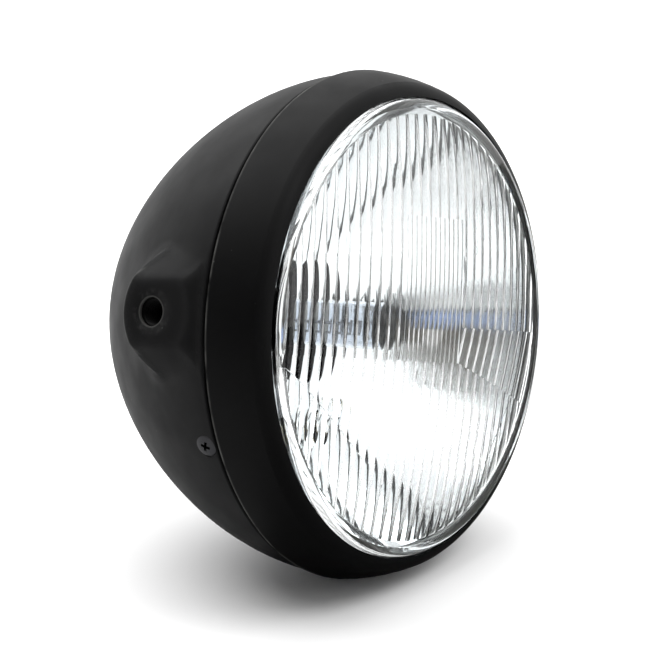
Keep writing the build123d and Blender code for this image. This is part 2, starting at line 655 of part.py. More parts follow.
def make_bulb_glass():
    rear = GLASS_REAR_Y - FIT
    round_y = REF_Y - BULB_REACH + GLASS_RADIUS
    inner = GLASS_RADIUS - GLASS_WALL
    outside = CenterArc((0, round_y), GLASS_RADIUS, 0, -90)
    inside = CenterArc((0, round_y), inner, 0, -90)
    return turned(
        Line((GLASS_RADIUS, rear), outside @ 0),
        outside,
        Line(outside @ 1, inside @ 1),
        inside,
        Line(inside @ 0, (inner, rear)),
        Line((inner, rear), (GLASS_RADIUS, rear)),
    )


def make_main_filament():
    return ring(0, COIL_RADIUS, MAIN_Y - COIL_LENGTH / 2, MAIN_Y + COIL_LENGTH / 2)


def make_dipped_filament():
    return Pos(0, 0, DIPPED_LIFT) * ring(0, COIL_RADIUS, DIPPED_REAR_Y - COIL_LENGTH, DIPPED_REAR_Y)


def make_dip_shield():
    """Trough under the dipped filament, closed in front and open above."""
    front = DIPPED_REAR_Y - COIL_LENGTH - FIT - SHIELD_WALL
    reach = 2 * SHIELD_RADIUS
    above = Box(2 * reach, 4 * COIL_LENGTH, 2 * reach)
    wall = ring(0, SHIELD_RADIUS, front, front + SHIELD_WALL)
    wall -= Pos(0, front, DIPPED_LIFT + COIL_RADIUS + reach) * above
    trough = ring(SHIELD_RADIUS - SHIELD_WALL, SHIELD_RADIUS, front, DIPPED_REAR_Y)
    return wall + (trough - Pos(0, front, reach) * above)


def make_filament_posts():
    """Lead wires from the stem: one under the shield, one behind and one between the filaments."""
    start = PLUG_FRONT_Y - FIT
    behind = MAIN_Y + COIL_LENGTH / 2 + FIT + POST_RADIUS
    between = MAIN_Y - COIL_LENGTH / 2 - FIT - POST_RADIUS
    bend = 2 * POST_RADIUS
    under = -SHIELD_RADIUS - POST_RADIUS - FIT
    shield_post = Pos(0, 0, under) * ring(0, POST_RADIUS, DIPPED_REAR_Y - COIL_LENGTH, start)
    posts = [
        bent_wire(
            [(side * POST_OFFSET, start, 0), (side * POST_OFFSET, y, 0), (-side * COIL_RADIUS, y, 0)],
            bend,
            POST_RADIUS,
        )
        for side, y in ((-1, behind), (1, between))
    ]
    return Compound([shape.solid() for shape in (shield_post, *posts)])


def make_terminals():
    """Three flat blades in the usual pattern: one across the top and one upright on each side."""
    y = CAP_REAR_Y + FIT + BLADE_LENGTH / 2
    blade = Box(BLADE_WIDTH, BLADE_LENGTH, BLADE_THICKNESS)
    upright = Rot(0, 90, 0) * blade
    places = [Pos(0, y, BLADE_OFFSET) * blade]
    places += [Pos(side * BLADE_OFFSET, y, 0) * upright for side in (-1, 1)]
    return Compound([shape.solid() for shape in places])


def make_bulb_spring():
    y = BULB_REAR_Y + FIT + SPRING_WIRE
    points = [
        (SPRING_RADIUS * cos(radians(angle)), y, SPRING_RADIUS * sin(radians(angle)))
        for angle in SPRING_CORNERS
    ]
    return bent_wire(points, SPRING_BEND, SPRING_WIRE)


def make_bulb_boot():
    """Rubber dust boot stretched over the holder's collar and the bulb's cap."""
    inner = HOLDER_RADIUS + FIT
    outer = inner + BOOT_WALL
    hub = CAP_RADIUS + FIT
    web = REF_Y + HOLDER_COLLAR + FIT
    sleeve = ring(inner, outer, REF_Y, web + BOOT_WALL)
    boot = sleeve + ring(hub, outer, web, web + BOOT_WALL)
    boot += ring(hub, hub + BOOT_WALL, web, web + BOOT_WALL + BOOT_HUB)
    edges = boot.edges().filter_by(GeomType.CIRCLE)
    return fillet(edges.sort_by_distance((outer, web + BOOT_WALL, 0))[0], BOOT_EDGE)


# Pilot light


def make_pilot_holder():
    bore = PILOT_BASE_RADIUS + FIT
    end = PILOT_REAR + PILOT_FLANGE + PILOT_BODY
    plug = ring(bore, PILOT_PLUG, -PILOT_END, end)
    flange = ring(bore, PILOT_FLANGE_RADIUS, PILOT_REAR, PILOT_REAR + PILOT_FLANGE)
    return stand_at(pilot_seat()) * (plug + flange + ring(0, PILOT_PLUG, end - PILOT_END, end))


def make_pilot_base():
    end = PILOT_REAR + PILOT_FLANGE + PILOT_BODY - PILOT_END - FIT
    return stand_at(pilot_seat()) * ring(0, PILOT_BASE_RADIUS, -PILOT_BASE_AHEAD, end)


def make_pilot_glass():
    rear = -PILOT_BASE_AHEAD - FIT
    tip = rear - PILOT_GLASS_LENGTH
    dome = CenterArc((0, tip + PILOT_GLASS_RADIUS), PILOT_GLASS_RADIUS, 0, -90)
    side = Polyline(dome @ 1, (0, rear), (PILOT_GLASS_RADIUS, rear), dome @ 0)
    return stand_at(pilot_seat()) * turned(dome, *side.edges())


parts = {
    "headlamp_shell": make_shell(),
    "mount_nuts": make_mount_nuts(),
    "cable_grommet": make_grommet(),
    "rim_retainer": make_retainer(),
    "retaining_clips": make_clips(),
    "rim_screws": make_screws(),
    "rim_nuts": make_captive_nuts(),
    "trim_rim": make_rim(),
    "lens": make_lens(),
    "lens_gasket": make_gasket(),
    "lens_seal": make_seal(),
    "reflector": make_reflector(),
    "bulb_holder": make_bulb_holder(),
    "bulb_collar": make_bulb_collar(),
    "bulb_cap": make_bulb_cap(),
    "bulb_glass": make_bulb_glass(),
    "main_filament": make_main_filament(),
    "dipped_filament": make_dipped_filament(),
    "dip_shield": make_dip_shield(),
    "filament_posts": make_filament_posts(),
    "bulb_terminals": make_terminals(),
    "bulb_spring": make_bulb_spring(),
    "bulb_boot": make_bulb_boot(),
    "pilot_holder": make_pilot_holder(),
    "pilot_base": make_pilot_base(),
    "pilot_glass": make_pilot_glass(),
}

os.makedirs("parts", exist_ok=True)
for name, shape in parts.items():
    export_step(shape, f"parts/{name}.step")
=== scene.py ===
import json
from math import atan2, cos, pi, radians, sin

import bmesh
import bpy
from mathutils import Matrix, Vector


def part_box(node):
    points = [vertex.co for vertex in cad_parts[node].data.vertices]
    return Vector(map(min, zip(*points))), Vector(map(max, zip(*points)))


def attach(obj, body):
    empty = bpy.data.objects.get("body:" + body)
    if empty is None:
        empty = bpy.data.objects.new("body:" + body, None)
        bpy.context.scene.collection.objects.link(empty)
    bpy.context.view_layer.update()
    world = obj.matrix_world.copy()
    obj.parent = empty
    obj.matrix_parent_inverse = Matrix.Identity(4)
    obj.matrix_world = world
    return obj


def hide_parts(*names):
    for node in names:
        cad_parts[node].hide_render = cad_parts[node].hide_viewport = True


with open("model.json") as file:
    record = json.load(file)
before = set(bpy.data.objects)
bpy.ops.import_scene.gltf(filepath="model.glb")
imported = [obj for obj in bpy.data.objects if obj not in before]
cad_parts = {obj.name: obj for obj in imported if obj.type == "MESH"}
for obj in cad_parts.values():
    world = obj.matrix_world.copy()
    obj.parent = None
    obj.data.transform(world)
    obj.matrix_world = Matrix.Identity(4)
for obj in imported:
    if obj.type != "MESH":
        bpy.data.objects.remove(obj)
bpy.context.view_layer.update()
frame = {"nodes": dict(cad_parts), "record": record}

# Reflector: the dish behind the glass that throws the bulb's light forward, with a neck for the bulb
# holder and a hole for the pilot light. It is pressed from sheet steel, lacquered smooth and then
# silvered in vacuum; the clips press its flange and the glass together into the rim.
mm = 0.001
LACQUER_WAVE = 22 * mm


def linear(hex_colour):
    """Linear RGBA of an sRGB hex colour."""
    channels = [int(hex_colour[i : i + 2], 16) / 255 for i in (1, 3, 5)]
    return [c / 12.92 if c <= 0.04045 else ((c + 0.055) / 1.055) ** 2.4 for c in channels] + [1.0]


def new_material(name):
    """An empty material and its node tree."""
    material = bpy.data.materials.new(name)
    material.use_nodes = True
    material.node_tree.nodes.clear()
    return material, material.node_tree


def add(tree, kind, values=(), links=(), **settings):
    """Adds a node with its settings, its socket values and the outputs that are linked to its inputs."""
    node = tree.nodes.new("ShaderNode" + kind)
    for name, value in settings.items():
        setattr(node, name, value)
    for socket, value in dict(values).items():
        node.inputs[socket].default_value = value
    for socket, output in dict(links).items():
        tree.links.new(output, node.inputs[socket])
    return node


def wear(material, *names):
    """Gives CAD nodes their finish."""
    for name in names:
        slots = frame["nodes"][name].data.materials
        slots.clear()
        slots.append(material)


# Vacuum silver on lacquer: a clear mirror in front, with slow waves where the lacquer ran before it set,
# and plain grey lacquer on the back.
silver, tree = new_material("vacuum_silvered_lacquer")
place = add(tree, "TexCoord").outputs["Object"]
flow = add(tree, "TexNoise", {"Scale": 1 / LACQUER_WAVE, "Detail": 2.0}, {"Vector": place})
haze = add(
    tree,
    "Mix",
    {6: linear("#eaecee"), 7: linear("#f3f4f4")},
    {0: flow.outputs["Fac"]},
    data_type="RGBA",
)
wave = add(tree, "Bump", {"Strength": 0.06, "Distance": 0.4 * mm}, {"Height": flow.outputs["Fac"]})
way = add(tree, "SeparateXYZ", links={"Vector": add(tree, "TexCoord").outputs["Normal"]})
front = add(
    tree,
    "MapRange",
    {"From Min": -0.02, "From Max": 0.02, "To Min": 1.0, "To Max": 0.0},
    {"Value": way.outputs["Y"]},
)
colour = add(
    tree,
    "Mix",
    {6: linear("#2b2c2e")},
    {0: front.outputs["Result"], 7: haze.outputs[2]},
    data_type="RGBA",
)
gloss = add(tree, "MapRange", {"To Min": 0.55, "To Max": 0.05}, {"Value": front.outputs["Result"]})
mirror = add(
    tree,
    "BsdfPrincipled",
    links={
        "Base Color": colour.outputs[2],
        "Metallic": front.outputs["Result"],
        "Roughness": gloss.outputs["Result"],
        "Normal": wave.outputs["Normal"],
    },
)
add(tree, "OutputMaterial", links={"Surface": mirror.outputs["BSDF"]})
wear(silver, "reflector")

# Pilot light: the small parking bulb under the main one, with a glass, a nickel-plated cap and a
# moulded rubber plug. The plug is pushed into a hole in the reflector from behind.
BLOOM = 6 * mm


def moulded_rubber(name, dark, light, roughness, grain):
    """Moulded rubber: matt, a little cloudy where the mould was hot, with the mould's grain.

    The grain, in millimetres, is drawn coarser than it is, so that it shows."""
    material, tree = new_material(name)
    place = add(tree, "TexCoord").outputs["Object"]
    bloom = add(tree, "TexNoise", {"Scale": 1 / BLOOM, "Detail": 3.0}, {"Vector": place})
    colour = add(
        tree,
        "Mix",
        {6: linear(dark), 7: linear(light)},
        {0: bloom.outputs["Fac"]},
        data_type="RGBA",
    )
    pores = add(tree, "TexNoise", {"Scale": 1 / (grain * mm), "Detail": 3.0}, {"Vector": place})
    relief = add(
        tree, "Bump", {"Strength": 0.25, "Distance": 0.05 * mm}, {"Height": pores.outputs["Fac"]}
    )
    skin = add(
        tree,
        "BsdfPrincipled",
        {"Roughness": roughness},
        {"Base Color": colour.outputs[2], "Normal": relief.outputs["Normal"]},
    )
    add(tree, "OutputMaterial", links={"Surface": skin.outputs["BSDF"]})
    return material


def bare_metal(name, dark, light, roughness, grain):
    """Plated or drawn metal, with a faint mottle in its tone and its gloss; grain is in millimetres."""
    material, tree = new_material(name)
    place = add(tree, "TexCoord").outputs["Object"]
    mottle = add(tree, "TexNoise", {"Scale": 1 / (grain * mm), "Detail": 3.0}, {"Vector": place})
    colour = add(
        tree,
        "Mix",
        {6: linear(dark), 7: linear(light)},
        {0: mottle.outputs["Fac"]},
        data_type="RGBA",
    )
    gloss = add(
        tree,
        "MapRange",
        {"To Min": roughness - 0.08, "To Max": roughness + 0.1},
        {"Value": mottle.outputs["Fac"]},
    )
    metal = add(
        tree,
        "BsdfPrincipled",
        {"Metallic": 1.0},
        {"Base Color": colour.outputs[2], "Roughness": gloss.outputs["Result"]},
    )
    add(tree, "OutputMaterial", links={"Surface": metal.outputs["BSDF"]})
    return material


def clear_glass(name, tint, edge_tint, ior, wave):
    """Clear glass: colourless to the eye, with slow waves, in millimetres, from the mould or the flame."""
    material, tree = new_material(name)
    place = add(tree, "TexCoord").outputs["Object"]
    flow = add(tree, "TexNoise", {"Scale": 1 / (wave * mm), "Detail": 1.0}, {"Vector": place})
    colour = add(
        tree,
        "Mix",
        {6: linear(tint), 7: linear(edge_tint)},
        {0: flow.outputs["Fac"]},
        data_type="RGBA",
    )
    ripple = add(
        tree, "Bump", {"Strength": 0.05, "Distance": 0.3 * mm}, {"Height": flow.outputs["Fac"]}
    )
    glass = add(
        tree,
        "BsdfPrincipled",
        {"Roughness": 0.0, "IOR": ior, "Transmission Weight": 1.0},
        {"Base Color": colour.outputs[2], "Normal": ripple.outputs["Normal"]},
    )
    add(tree, "OutputMaterial", links={"Surface": glass.outputs["BSDF"]})
    return material


wear(moulded_rubber("black_plug_rubber", "#131313", "#1c1c1b", 0.6, 0.6), "pilot_holder")
wear(bare_metal("nickel_plated_brass", "#bfb69e", "#cfc7b2", 0.25, 2.0), "pilot_base")
wear(clear_glass("blown_pilot_glass", "#f6f8f8", "#fbfcfc", 1.48, 8), "pilot_glass")

# Lens and its seal: a pressed glass dish with upright flutes inside, which spread the beam, bedded on
# the reflector's flange in a bead of grey sealant. Soda-lime glass is clear with a faint cool edge.
LENS_IOR = 1.41  # matched to the object, whose flutes are softer than these and bend the light less
wear(clear_glass("pressed_soda_lime_glass", "#fdfefe", "#f9fcfc", LENS_IOR, 12), "lens")
wear(moulded_rubber("grey_sealant", "#747472", "#84847f", 0.6, 0.8), "lens_seal")

# Bulb: two filaments on lead wires in a faintly blue glass, with a shield under the dipped one. A
# zinc-plated collar, coloured nearly black as painted shade, holds the glass, and a cream moulding with
# three brass blades closes the back. The filaments are coils of tungsten wire.
TOUCH = 0.001 * mm
SHARP_EDGE = radians(35)


def keep(bm, name, material, slot, *nodes):
    """Makes a finished piece of a bmesh, which rides on the lamp and stands for the CAD nodes given."""
    bmesh.ops.remove_doubles(bm, verts=bm.verts, dist=TOUCH)
    bmesh.ops.recalc_face_normals(bm, faces=bm.faces)
    mesh = bpy.data.meshes.new(name)
    bm.to_mesh(mesh)
    bm.free()
    mesh.shade_smooth()
    mesh.set_sharp_from_angle(angle=SHARP_EDGE)
    mesh.materials.append(material)
    piece = bpy.data.objects.new(name, mesh)
    bpy.context.scene.collection.objects.link(piece)
    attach(piece, "root")
    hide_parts(*nodes)


FILAMENT_WIRE = 0.11 * mm
FILAMENT_TURNS = 13
TURN_STEPS = 16
tungsten = bare_metal("drawn_tungsten_wire", "#5c5a58", "#767370", 0.4, 0.5)
for node in ("main_filament", "dipped_filament"):
    low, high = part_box(node)
    reach = high[1] - low[1] - 2 * FILAMENT_WIRE
    coil_radius = (high[0] - low[0]) / 2 - FILAMENT_WIRE
    bm = bmesh.new()
    wire = bmesh.ops.create_circle(bm, segments=8, radius=FILAMENT_WIRE)["verts"]
    start = Vector(((low[0] + high[0]) / 2, low[1] + FILAMENT_WIRE, (low[2] + high[2]) / 2))
    bmesh.ops.translate(bm, vec=start + Vector((coil_radius, 0, 0)), verts=wire)
    bmesh.ops.spin(
        bm,
        geom=list(bm.edges),
        cent=start,
        axis=(0, 1, 0),
        dvec=(0, reach / (FILAMENT_TURNS * TURN_STEPS), 0),
        angle=2 * pi * FILAMENT_TURNS,
        steps=FILAMENT_TURNS * TURN_STEPS,
    )
    bmesh.ops.holes_fill(bm, edges=[e for e in bm.edges if e.is_boundary])
    keep(bm, node + "_coil", tungsten, "tungsten", node)

# Blue lamp glass: a faint tint cools the light, and the tip is painted black against glare.
TIP_PAINT = 8.5 * mm
PAINT_EDGE = 0.4 * mm
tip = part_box("bulb_glass")[0][1]
blue_glass, tree = new_material("blue_lamp_glass_black_tip")
place = add(tree, "TexCoord").outputs["Object"]
flow = add(tree, "TexNoise", {"Scale": 1 / (8 * mm), "Detail": 1.0}, {"Vector": place})
tint = add(
    tree,
    "Mix",
    {6: linear("#e3e8f1"), 7: linear("#ebeff5")},
    {0: flow.outputs["Fac"]},
    data_type="RGBA",
)
along = add(tree, "SeparateXYZ", links={"Vector": place})
painted = add(
    tree,
    "MapRange",
    {
        "From Min": tip + TIP_PAINT - PAINT_EDGE,
        "From Max": tip + TIP_PAINT,
        "To Min": 1.0,
        "To Max": 0.0,
    },
    {"Value": along.outputs["Y"]},
)
colour = add(
    tree,
    "Mix",
    {7: linear("#050505")},
    {0: painted.outputs["Result"], 6: tint.outputs[2]},
    data_type="RGBA",
)
glass = add(
    tree,
    "BsdfPrincipled",
    {"Roughness": 0.0, "IOR": 1.48, "Transmission Weight": 1.0},
    {"Base Color": colour.outputs[2]},
)
add(tree, "OutputMaterial", links={"Surface": glass.outputs["BSDF"]})
wear(blue_glass, "bulb_glass")

spring_wire = bare_metal("bright_spring_wire", "#868689", "#98989b", 0.25, 1.2)
# Zinc coloured nearly black: painted shade for the dark inside of the lamp round the bulb's base, so the
# collar draws the dark stripes at one side of the lens.
shade_dark_zinc = bare_metal("zinc_painted_as_shade", "#101011", "#1a1a1b", 0.45, 2.5)
wear(spring_wire, "dip_shield", "filament_posts")
wear(shade_dark_zinc, "bulb_collar")
wear(moulded_rubber("cream_moulding", "#d3ccbc", "#ded8ca", 0.5, 1.0), "bulb_cap")
wear(bare_metal("stamped_brass", "#c8a45c", "#d8b873", 0.25, 2.0), "bulb_terminals")

# Bulb holder, spring and boot: the holder is a zinc-plated pressing, coloured nearly black as painted
# shade, crimped on the reflector's neck. The wire spring hooks under its tabs and presses the bulb's
# flange home, and a moulded rubber boot keeps dust and water out.
wear(shade_dark_zinc, "bulb_holder")
wear(spring_wire, "bulb_spring")
wear(moulded_rubber("black_boot_rubber", "#121212", "#1a1a19", 0.65, 0.6), "bulb_boot")

# Rim, gasket, ring and clips: the rim is a steel ring rolled round its nose, coated black. A zinc-plated
# ring welded inside it has a lip for the six spring-wire clips and two tongues for the screws. A soft
# gasket lies between the rim's lip and the glass.
COAT_CLOUD = 45 * mm
COAT_SHEEN = 14 * mm
ORANGE_PEEL = 0.9 * mm
DUST_SPACING = 9 * mm
# Edge band sizes are for painted highlights on the rim's rear edge and the pad's back edge.
HIGHLIGHT_PATCH_SIZE = 7 * mm
HIGHLIGHT_BAND_FADE = 0.9 * mm
HIGHLIGHT_BAND_CORE = 0.3 * mm


def powder_coat(name, dark, light, roughness, specular, rub_and_highlight, soft_edge=None):
    """Satin powder coat: a near-black skin with an orange peel, a soft sheen and a few specks of dust.

    The function rub takes the tree and the place, and returns how far the coat is lightened to its grey
    there:
    rubbed down where it is worn, and as a painted highlight along edges that would catch the light. Where
    the pressing's creases are soft, soft_edge does the same for their rounding."""
    material, tree = new_material(name)
    place = add(tree, "TexCoord").outputs["Object"]
    cloud = add(tree, "TexNoise", {"Scale": 1 / COAT_CLOUD, "Detail": 3.0}, {"Vector": place})
    colour = add(
        tree,
        "Mix",
        {6: linear(dark), 7: linear(light)},
        {0: cloud.outputs["Fac"]},
        data_type="RGBA",
    )
    worn_and_highlit = add(
        tree,
        "Mix",
        {7: linear("#4c4c4a")},
        {0: rub_and_highlight(tree, place), 6: colour.outputs[2]},
        data_type="RGBA",
    )
    speck = add(tree, "TexVoronoi", {"Scale": 1 / DUST_SPACING, "Randomness": 1.0}, {"Vector": place})
    dust = add(
        tree,
        "MapRange",
        {"From Min": 0.018, "From Max": 0.03, "To Min": 0.2, "To Max": 0.0},
        {"Value": speck.outputs["Distance"]},
    )
    dusty = add(
        tree,
        "Mix",
        {7: linear("#8f8f8c")},
        {0: dust.outputs["Result"], 6: worn_and_highlit.outputs[2]},
        data_type="RGBA",
    )
    sheen = add(tree, "TexNoise", {"Scale": 1 / COAT_SHEEN, "Detail": 4.0}, {"Vector": place})
    gloss = add(
        tree,
        "MapRange",
        {"From Min": 0.3, "From Max": 0.7, "To Min": roughness - 0.04, "To Max": roughness + 0.05},
        {"Value": sheen.outputs["Fac"]},
    )
    peel = add(tree, "TexNoise", {"Scale": 1 / ORANGE_PEEL, "Detail": 2.0}, {"Vector": place})
    relief = add(
        tree, "Bump", {"Strength": 0.12, "Distance": 0.05 * mm}, {"Height": peel.outputs["Fac"]}
    )
    if soft_edge:
        rounded = add(tree, "Bevel", links={"Radius": soft_edge(tree, place)}, samples=8)
        tree.links.new(rounded.outputs["Normal"], relief.inputs["Normal"])
    coat = add(
        tree,
        "BsdfPrincipled",
        {"IOR": 1.5, "Specular IOR Level": specular},
        {
            "Base Color": dusty.outputs[2],
            "Roughness": gloss.outputs["Result"],
            "Normal": relief.outputs["Normal"],
        },
    )
    add(tree, "OutputMaterial", links={"Surface": coat.outputs["BSDF"]})
    return material


rim_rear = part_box("trim_rim")[1][1]


def rim_edge_painted_highlight(tree, place):
    """The rim's rear edge, lightened in patches: a painted highlight where its rounding would catch the
    light.
    """
    along = add(tree, "SeparateXYZ", links={"Vector": place})
    highlight_patches = add(tree, "TexNoise", {"Scale": 1 / HIGHLIGHT_PATCH_SIZE, "Detail": 3.0}, {"Vector": place})
    edge = add(
        tree,
        "MapRange",
        {"From Min": rim_rear - HIGHLIGHT_BAND_FADE, "From Max": rim_rear - HIGHLIGHT_BAND_CORE},
        {"Value": along.outputs["Y"]},
    )
    patchy = add(tree, "MapRange", {"From Min": 0.3, "From Max": 0.7}, {"Value": highlight_patches.outputs["Fac"]})
    rim_highlight = add(
        tree,
        "Math",
        links={0: edge.outputs["Result"], 1: patchy.outputs["Result"]},
        operation="MULTIPLY",
    )
    return rim_highlight.outputs["Value"]


# The rim's coat carries a painted highlight along its rear edge.
wear(powder_coat("rim_powder_coat", "#050505", "#070708", 0.5, 0.09, rim_edge_painted_highlight), "trim_rim")
wear(moulded_rubber("black_gasket_rubber", "#0f0f0f", "#181817", 0.6, 0.6), "lens_gasket")
zinc = bare_metal("zinc_plated_steel", "#aeada9", "#c2c1bd", 0.35, 2.5)
wear(zinc, "rim_retainer")
wear(spring_wire, "retaining_clips")

# Shell: a steel bowl, deep drawn, with a mounting pad pressed out on each side and a cable hole in the
# flat at the back. It is powder coated black; its mouth slides into the rim.
low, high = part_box("mount_nuts")
mount_y = (low[1] + high[1]) / 2
mount_z = (low[2] + high[2]) / 2
HOLE_RADIUS = 5.2 * mm
WASHER_RADIUS = 9.0 * mm
SCRATCHES = 1.6 * mm
PAD_NOSE = 21.5 * mm
PAD_BACK = 13.0 * mm
PAD_ROUNDING = 6.0 * mm
EDGE_ROUNDING = 0.3 * mm
ROUNDED_ZONE = 24 * mm
CRISP_ZONE = 34 * mm


def distance_from(tree, place, y, z):
    """Distance from a line along X through a place on the shell's side."""
    local = add(
        tree, "Mapping", {"Location": (0, -y, -z), "Scale": (0, 1, 1)}, {"Vector": place}
    )
    return add(
        tree, "VectorMath", links={0: local.outputs["Vector"]}, operation="LENGTH"
    ).outputs["Value"]


def pad_wear_and_highlight(tree, place):
    """Washer marks round the side hole and thin coat on its edge, and a painted highlight along the pad's
    round back edge.
    """
    off_axis = distance_from(tree, place, mount_y, mount_z)
    lip = add(
        tree,
        "MapRange",
        {
            "From Min": HOLE_RADIUS + 0.2 * mm,
            "From Max": HOLE_RADIUS + 0.6 * mm,
            "To Min": 0.7,
            "To Max": 0.0,
        },
        {"Value": off_axis},
    )
    washer = add(
        tree,
        "MapRange",
        {"From Min": 6.0 * mm, "From Max": WASHER_RADIUS, "To Min": 0.28, "To Max": 0.0},
        {"Value": off_axis},
    )
    scratch = add(tree, "TexNoise", {"Scale": 1 / SCRATCHES, "Detail": 4.0}, {"Vector": place})
    rubbed = add(
        tree,
        "MapRange",
        {"From Min": 0.5, "From Max": 0.75, "To Min": 0.0},
        {"Value": scratch.outputs["Fac"], "To Max": washer.outputs["Result"]},
    )
    # Painted highlight: the pad's round back edge is lightened where it would catch the light.
    off_edge = add(
        tree,
        "Math",
        {1: PAD_NOSE},
        {0: distance_from(tree, place, mount_y + PAD_BACK - PAD_NOSE, mount_z)},
        operation="SUBTRACT",
    )
    beside_edge = add(tree, "Math", links={0: off_edge.outputs["Value"]}, operation="ABSOLUTE")
    edge = add(
        tree,
        "MapRange",
        {"From Min": HIGHLIGHT_BAND_CORE, "From Max": HIGHLIGHT_BAND_FADE, "To Min": 0.42, "To Max": 0.0},
        {"Value": beside_edge.outputs["Value"]},
    )
    spot = add(tree, "SeparateXYZ", links={"Vector": place})
    behind = add(
        tree,
        "MapRange",
        {"From Min": mount_y, "From Max": mount_y + 5 * mm, "To Min": 0.0},
        {"Value": spot.outputs["Y"], "To Max": edge.outputs["Result"]},
    )
    reach = add(tree, "Math", links={0: spot.outputs["X"]}, operation="ABSOLUTE")
    pad_edge_highlight = add(
        tree,
        "MapRange",
        {"From Min": high[0] - 2 * mm, "From Max": high[0] - 1 * mm, "To Min": 0.0},
        {"Value": reach.outputs["Value"], "To Max": behind.outputs["Result"]},
    )
    scuffs_and_highlight = add(
        tree,
        "Math",
        links={0: rubbed.outputs["Result"], 1: pad_edge_highlight.outputs["Result"]},
        operation="MAXIMUM",
    )
    wear_and_highlight = add(
        tree,
        "Math",
        links={0: scuffs_and_highlight.outputs["Value"], 1: lip.outputs["Result"]},
        operation="MAXIMUM",
    )
    return wear_and_highlight.outputs["Value"]


def pad_rounding(tree, place):
    """The pads are pressed with soft creases; the mouth and the screw dimples have crisp ones."""
    return add(
        tree,
        "MapRange",
        {
            "From Min": ROUNDED_ZONE,
            "From Max": CRISP_ZONE,
            "To Min": PAD_ROUNDING,
            "To Max": EDGE_ROUNDING,
        },
        {"Value": distance_from(tree, place, mount_y, mount_z)},
    ).outputs["Result"]


wear(
    powder_coat("shell_powder_coat", "#070708", "#0b0b0c", 0.55, 0.12, pad_wear_and_highlight, pad_rounding),
    "headlamp_shell",
)

# Side nuts: two flanged M10 nuts welded behind the pads, which take the bolts of the bracket. They are
# forged zinc-plated steel, coloured nearly black as painted shade so that the holes read dark. Their
# threads show in the holes, and a thin cap on the inner end keeps light and water out.
NUT_ACROSS = 16 * mm
NUT_FLANGE = 1.6 * mm
NUT_CAP = 0.5 * mm
THREAD_CORE = 4.3 * mm
THREAD_DEPTH = 0.68 * mm
THREAD_PITCH = 1.25 * mm
THREAD_TOOTH = [(0, 0), (0.25, 0), (0.56, 1), (0.69, 1)]  # along the pitch, share of the depth
NUT_STEPS = 48
flange_radius = (high[1] - low[1]) / 2
face = low[0]
nut_length = 2 * (high[0] - frame["record"]["mounts"][1]["pos_m"][0])
bm = bmesh.new()
bmesh.ops.create_circle(bm, segments=NUT_STEPS, radius=flange_radius)
bmesh.ops.rotate(bm, cent=(0, 0, 0), matrix=Matrix.Rotation(pi / 2, 3, "Y"), verts=bm.verts)
bmesh.ops.translate(bm, vec=(face, mount_y, mount_z), verts=bm.verts)
outlines = [list(bm.edges)]
# The flange is drawn out, stepped in to a hexagon and drawn out again.
for forward in (NUT_FLANGE, 0, nut_length - NUT_FLANGE):
    drawn = bmesh.ops.extrude_edge_only(bm, edges=outlines[-1])["geom"]
    verts = {v for v in drawn if isinstance(v, bmesh.types.BMVert)}
    outlines.append([e for e in bm.edges if verts.issuperset(e.verts)])
    bmesh.ops.translate(bm, vec=(forward, 0, 0), verts=list(verts))
    if not forward:
        for v in verts:
            spoke = Vector((v.co.y - mount_y, v.co.z - mount_z))
            off_flat = (atan2(spoke.y, spoke.x) + pi / 6) % (pi / 3) - pi / 6
            spoke *= NUT_ACROSS / 2 / cos(off_flat) / flange_radius
            v.co.y, v.co.z = mount_y + spoke.x, mount_z + spoke.y
body = set(bm.verts)
# The thread is a toothed line, spun forward by one pitch and cut off at both ends.
turns = int(nut_length / THREAD_PITCH) + 3
groove = []
for count in range(turns):
    for along, depth in THREAD_TOOTH:
        x = face + (count - 1 + along) * THREAD_PITCH
        groove.append(bm.verts.new((x, mount_y, mount_z + THREAD_CORE + depth * THREAD_DEPTH)))
edges = [bm.edges.new(pair) for pair in zip(groove, groove[1:])]
bmesh.ops.spin(
    bm,
    geom=groove + edges,
    cent=(face, mount_y, mount_z),
    axis=(1, 0, 0),
    dvec=(THREAD_PITCH / NUT_STEPS, 0, 0),
    angle=2 * pi,
    steps=NUT_STEPS,
)
thread = [v for v in bm.verts if v not in body]
bmesh.ops.remove_doubles(bm, verts=thread, dist=TOUCH)
for x, outwards in ((face, -1), (face + nut_length - NUT_CAP, 1)):
    geom = {v for v in bm.verts if v not in body}
    geom |= {part for v in set(geom) for part in (*v.link_edges, *v.link_faces)}
    bmesh.ops.bisect_plane(
        bm,
        geom=list(geom),
        dist=1e-7,
        plane_co=(x, 0, 0),
        plane_no=(outwards, 0, 0),
        clear_outer=True,
    )
    end = [
        e
        for e in bm.edges
        if e.is_boundary and body.isdisjoint(e.verts) and all(abs(v.co.x - x) < TOUCH for v in e.verts)
    ]
    if outwards < 0:
        bmesh.ops.triangle_fill(bm, edges=end + outlines[0], use_beauty=True, normal=(-1, 0, 0))
    else:
        bmesh.ops.contextual_create(bm, geom=end)
        bmesh.ops.contextual_create(bm, geom=outlines[-1])
other = bmesh.ops.duplicate(bm, geom=list(bm.verts) + list(bm.edges) + list(bm.faces))["geom"]
bmesh.ops.rotate(
    bm,
    cent=(0, mount_y, 0),
    matrix=Matrix.Rotation(pi, 3, "Z"),
    verts=[v for v in other if isinstance(v, bmesh.types.BMVert)],
)
# Nearly black: painted shade for the dark bores of the side holes.
nut_shade_zinc = bare_metal("nut_zinc_painted_as_shade", "#141414", "#1e1e1e", 0.5, 2.0)
keep(bm, "threaded_mount_nuts", nut_shade_zinc, "zinc_steel", "mount_nuts")

